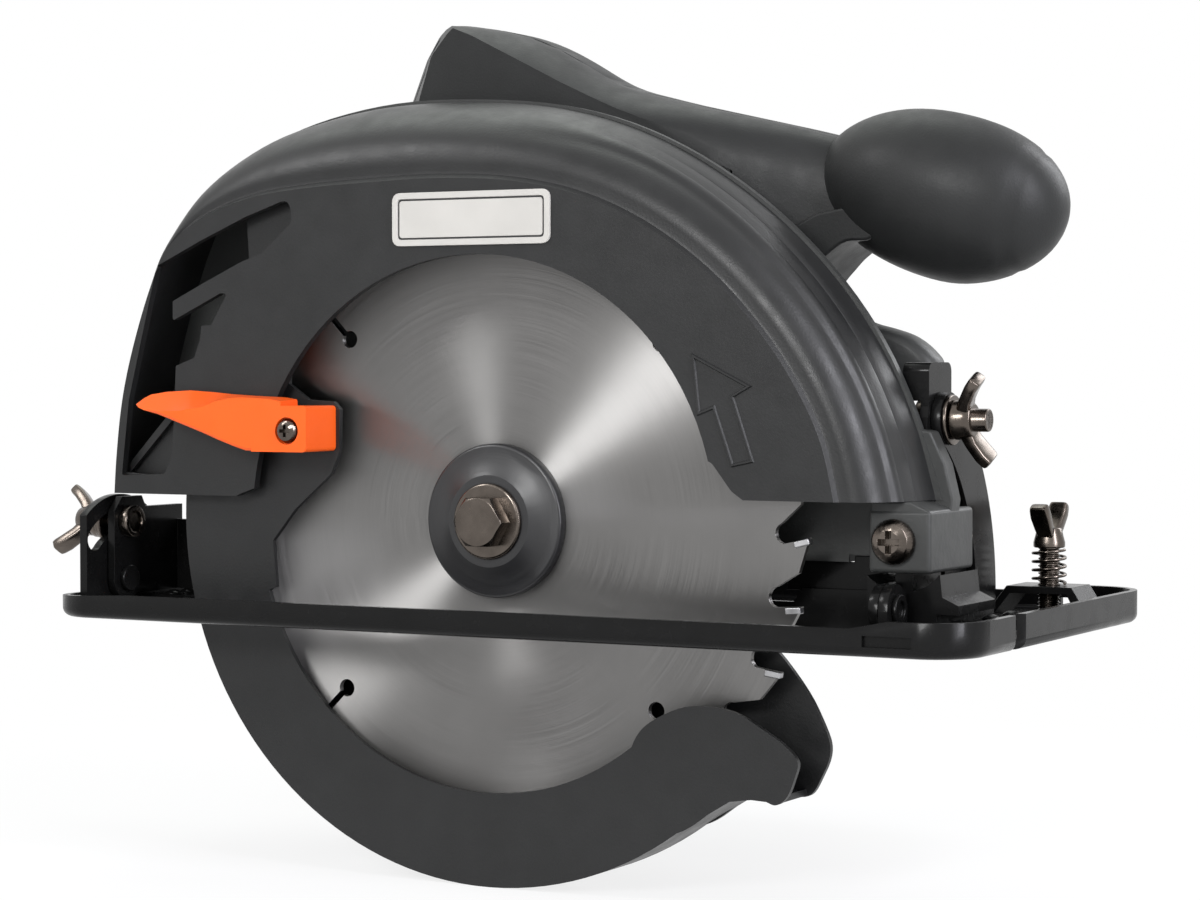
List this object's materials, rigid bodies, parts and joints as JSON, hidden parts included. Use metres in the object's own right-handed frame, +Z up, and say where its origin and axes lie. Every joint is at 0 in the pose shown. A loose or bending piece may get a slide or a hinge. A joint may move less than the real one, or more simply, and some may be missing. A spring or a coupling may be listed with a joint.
{
  "type": "circular saw",
  "caption": "Hand-held circular saw with a fixed upper guard, a swinging lower guard, a tilting sole plate, a side motor, a loop grip and a round front knob.",
  "frame": {"origin": "on the underside of the sole, in the blade's mid-plane, straight below the arbor", "axes": "+X to the front, -Y to the blade side, +Y to the motor side, +Z up"},
  "size_m": [0.2951, 0.1691, 0.2393],
  "materials": {
    "blade_steel": "ground steel with fine circular scratches",
    "carbide": "satin carbide",
    "plain_steel": "machined",
    "bearing_steel": "polished rings",
    "flange_black": "satin black oxide",
    "dark_hardware": "dark nickel plate",
    "copper": "enamelled copper",
    "brush_brass": "drawn brass",
    "grey_plastic": "moulded",
    "black_plastic": "fine moulded texture",
    "trigger_plastic": "smooth moulded",
    "rubber_black": "matt",
    "guard_black": "satin charcoal powder coat",
    "case_black": "cast, satin black",
    "gloss_black": "gloss enamel",
    "orange_plastic": "smooth moulded",
    "badge_silver": "satin plate, blank"
  },
  "bodies": {
    "base": {"base_plate": "gloss_black", "bevel_quadrant": "gloss_black", "rear_quadrant": "gloss_black", "guide_strap": "gloss_black", "base_rivets": "gloss_black", "guide_spring": "dark_hardware", "bevel_stud": "dark_hardware", "bevel_washer": "dark_hardware", "bevel_pins": "gloss_black"},
    "front_wing_nut": {"front_wing_nut": "dark_hardware"},
    "guide_wing_bolt": {"guide_wing_bolt": "dark_hardware"},
    "tilt_frame": {"front_bracket": "gloss_black", "rear_bracket": "gloss_black", "rear_clamp_washers": "dark_hardware", "depth_arm": "gloss_black", "arm_rivets": "dark_hardware"},
    "rear_wing_bolt": {"rear_wing_bolt": "dark_hardware"},
    "saw_body": {"gear_case": "case_black", "upper_guard": "guard_black", "badge_plate": "badge_silver", "bearing_plate": "case_black", "bearing_retainer": "case_black", "spindle_bearings": "bearing_steel", "armature_bearings": "bearing_steel", "motor_housing": "black_plastic", "stator": "plain_steel", "field_windings": "copper", "brush_gear": "brush_brass", "brush_caps": "black_plastic", "motor_end_cap": "black_plastic", "guard_return_spring": "plain_steel", "handle_right_half": "black_plastic", "handle_left_half": "black_plastic", "body_screws": "dark_hardware", "switch_block": "grey_plastic", "cord_inlet": "rubber_black", "depth_pivot_screw": "dark_hardware", "depth_pivot_nut": "dark_hardware", "depth_clamp_bolt": "dark_hardware"},
    "lower_guard": {"lower_guard": "guard_black", "guard_lever": "orange_plastic", "lever_screw": "dark_hardware"},
    "spindle": {"saw_blade": "blade_steel", "carbide_tips": "carbide", "spindle": "plain_steel", "inner_flange": "flange_black", "outer_flange": "flange_black", "arbor_washer": "dark_hardware", "arbor_bolt": "dark_hardware", "drive_gear": "plain_steel", "lock_disc": "plain_steel"},
    "armature": {"armature_shaft": "plain_steel", "armature_core": "plain_steel", "commutator": "copper", "cooling_fan": "grey_plastic"},
    "trigger": {"trigger": "trigger_plastic"},
    "lock_off_button": {"lock_off_button": "trigger_plastic"},
    "spindle_lock_button": {"spindle_lock_button": "black_plastic"},
    "depth_lever": {"depth_lever": "black_plastic"}
  },
  "joints": [
    {"name": "bevel_tilt", "type": "hinge", "parent": "base", "child": "tilt_frame", "pos_m": [0, -0.005, 0.0095], "axis": [1, 0, 0], "range_deg": [0, 45]},
    {"name": "depth_swing", "type": "hinge", "parent": "tilt_frame", "child": "saw_body", "pos_m": [0.1166, 0, 0.0265], "axis": [0, 1, 0], "range_deg": [0, 28]},
    {"name": "guard_swing", "type": "hinge", "parent": "saw_body", "child": "lower_guard", "pos_m": [0, 0, 0.029], "axis": [0, 1, 0], "range_deg": [0, 120], "stiffness_Nm_per_rad": 0.2, "springref_deg": -91.67},
    {"name": "blade_spin", "type": "hinge", "parent": "saw_body", "child": "spindle", "pos_m": [0, 0, 0.029], "axis": [0, 1, 0], "continuous": true},
    {"name": "armature_spin", "type": "hinge", "parent": "saw_body", "child": "armature", "pos_m": [-0.00608, 0, 0.0517], "axis": [0, 1, 0], "continuous": true},
    {"name": "trigger_pull", "type": "hinge", "parent": "saw_body", "child": "trigger", "pos_m": [0.004, 0.045, 0.1365], "axis": [0, 1, 0], "range_deg": [0, 8], "stiffness_Nm_per_rad": 0.5, "springref_deg": -6.88},
    {"name": "lock_off_press", "type": "slide", "parent": "saw_body", "child": "lock_off_button", "axis": [0, -1, 0], "range_m": [0, 0.003], "stiffness_N_per_m": 300, "springref_m": -0.003},
    {"name": "spindle_lock_press", "type": "slide", "parent": "saw_body", "child": "spindle_lock_button", "axis": [1, 0, 0], "range_m": [0, 0.003], "stiffness_N_per_m": 300, "springref_m": -0.003},
    {"name": "depth_lever_turn", "type": "hinge", "parent": "saw_body", "child": "depth_lever", "pos_m": [-0.09827, 0.022, 0.034], "axis": [0, -1, 0], "range_deg": [0, 40]},
    {"name": "front_wing_turn", "type": "hinge", "parent": "base", "child": "front_wing_nut", "pos_m": [0.126, 0.02468, 0.05699], "axis": [1, 0, 0], "continuous": true},
    {"name": "guide_wing_turn", "type": "hinge", "parent": "base", "child": "guide_wing_bolt", "pos_m": [0.132, 0.0695, 0.02], "axis": [0, 0, 1], "continuous": true},
    {"name": "rear_wing_turn", "type": "hinge", "parent": "tilt_frame", "child": "rear_wing_bolt", "pos_m": [-0.132, -0.005, 0.026], "axis": [1, 0, 0], "continuous": true}
  ],
  "couplings": [
    {"joint": "armature_spin", "follows": "blade_spin", "ratio": -4.2222}
  ]
}
